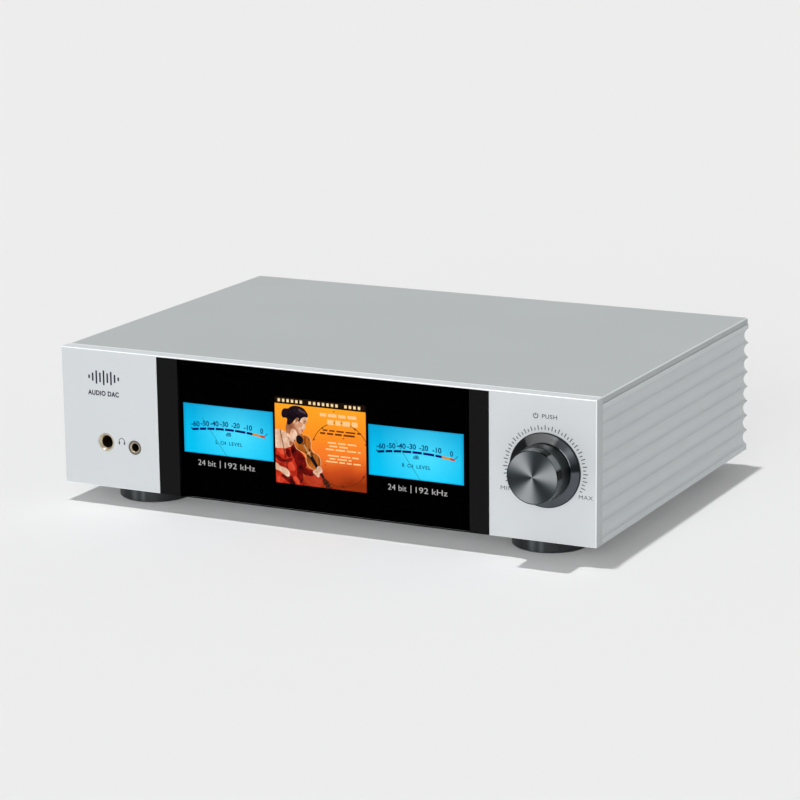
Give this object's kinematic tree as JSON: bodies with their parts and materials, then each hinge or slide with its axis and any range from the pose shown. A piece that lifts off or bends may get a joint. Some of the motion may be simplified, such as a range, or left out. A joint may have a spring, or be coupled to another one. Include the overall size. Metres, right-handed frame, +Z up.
{
  "type": "desktop dac",
  "caption": "Silver desktop DAC and headphone amplifier with a black glass display window, push-and-turn volume knob, headphone sockets, scalloped sides and round feet.",
  "frame": {"origin": "centre of the bottom of the bounding box, on the surface that the foot pads stand on", "axes": "+X to the right seen from the front, +Y to the rear, +Z up"},
  "size_m": [0.31, 0.2416, 0.085],
  "materials": {
    "silver_front": "bead-blasted, silver anodised, broken edges",
    "silver_cover": "bead-blasted, silver anodised",
    "silver_side": "extruded, bead-blasted, silver anodised",
    "silver_rear": "bead-blasted, silver anodised",
    "silver_base": "brushed, silver anodised",
    "window_glass": "polished, smoked",
    "black_film": "matt black",
    "screen_black": "gloss, display surface",
    "circuit_board": "solder mask",
    "flat_cable": "smooth",
    "zinc_steel": "zinc plated",
    "foot_gunmetal": "turned, black anodised",
    "knob_gunmetal": "spun, gunmetal anodised",
    "ring_gunmetal": "spun, gunmetal anodised",
    "pad_rubber": "matt",
    "black_screw": "black oxide",
    "black_plastic": "fine moulded grain",
    "rocker_plastic": "semi-gloss",
    "red_plastic": "moulded",
    "white_plastic": "moulded",
    "gold_plate": "gold plated",
    "nickel_plate": "nickel plated",
    "tin_shield": "tin plated",
    "black_metal": "satin black",
    "chip_black": "moulded epoxy",
    "capacitor_sleeve": "shrink sleeve",
    "transformer_tape": "wound tape",
    "black_heatsink": "black anodised",
    "brass_post": "nickel-free brass",
    "fuse_glass": "clear"
  },
  "bodies": {
    "root": {"front_panel": "silver_front", "front_glass": "window_glass", "display_gasket": "black_film", "display_panel": "screen_black", "display_board": "circuit_board", "display_cable": "flat_cable", "inner_front_plate": "zinc_steel", "top_cover": "silver_cover", "bottom_plate": "silver_base", "left_side_panel": "silver_side", "right_side_panel": "silver_side", "rear_panel": "silver_rear", "foot_front_left": "foot_gunmetal", "foot_front_right": "foot_gunmetal", "foot_rear_left": "foot_gunmetal", "foot_rear_right": "foot_gunmetal", "foot_pads": "pad_rubber", "foot_screws": "black_screw", "panel_screws": "black_screw", "inner_screws": "zinc_steel", "knob_trim_ring": "ring_gunmetal", "encoder_housing": "zinc_steel", "encoder_nut": "nickel_plate", "push_switch_body": "black_plastic", "headphone_jack_6_35": "black_plastic", "jack_ring_6_35": "gold_plate", "headphone_jack_4_4": "black_plastic", "jack_ring_4_4": "gold_plate", "headphone_board": "circuit_board", "main_board": "circuit_board", "board_chips": "chip_black", "filter_capacitors": "capacitor_sleeve", "streamer_module": "tin_shield", "toroidal_transformer": "transformer_tape", "transformer_plate": "zinc_steel", "transformer_bolt": "zinc_steel", "power_supply_board": "circuit_board", "supply_capacitors": "capacitor_sleeve", "regulator_heatsink": "black_heatsink", "board_standoffs": "brass_post", "mains_inlet": "black_plastic", "inlet_pins": "nickel_plate", "power_switch_frame": "black_plastic", "xlr_outputs": "black_metal", "xlr_pins": "gold_plate", "rca_jacks": "gold_plate", "rca_insulators": "white_plastic", "optical_socket": "black_plastic", "usb_b_socket": "tin_shield", "usb_a_sockets": "tin_shield", "lan_socket": "tin_shield"},
    "rotor": {"encoder_rotor": "black_plastic"},
    "knob": {"volume_knob": "knob_gunmetal", "knob_set_screw": "black_screw", "encoder_shaft": "zinc_steel"},
    "plunger": {"push_switch_plunger": "red_plastic"},
    "rocker": {"power_rocker": "rocker_plastic"},
    "drawer": {"fuse_drawer": "black_plastic", "fuse": "fuse_glass"},
    "shutter": {"optical_shutter": "black_plastic"}
  },
  "joints": [
    {"name": "volume_turn", "type": "hinge", "parent": "root", "child": "rotor", "pos_m": [0.1275, -0.10515, 0.04705], "axis": [0, -1, 0], "continuous": true},
    {"name": "volume_push", "type": "slide", "parent": "rotor", "child": "knob", "axis": [0, 1, 0], "range_m": [0, 0.0005], "stiffness_N_per_m": 3000, "springref_m": -0.0002},
    {"name": "plunger_travel", "type": "slide", "parent": "root", "child": "plunger", "axis": [0, 1, 0], "range_m": [0, 0.0005]},
    {"name": "power_rocker_tilt", "type": "hinge", "parent": "root", "child": "rocker", "pos_m": [0.082, 0.11225, 0.0475], "axis": [-1, 0, 0], "range_deg": [0, 18]},
    {"name": "fuse_drawer_slide", "type": "slide", "parent": "root", "child": "drawer", "axis": [0, 1, 0], "range_m": [0, 0.02]},
    {"name": "optical_shutter_swing", "type": "hinge", "parent": "root", "child": "shutter", "pos_m": [-0.028, 0.11065, 0.0303], "axis": [-1, 0, 0], "range_deg": [0, 80], "stiffness_Nm_per_rad": 0.0002}
  ],
  "couplings": [
    {"joint": "plunger_travel", "follows": "volume_push", "ratio": 1}
  ]
}
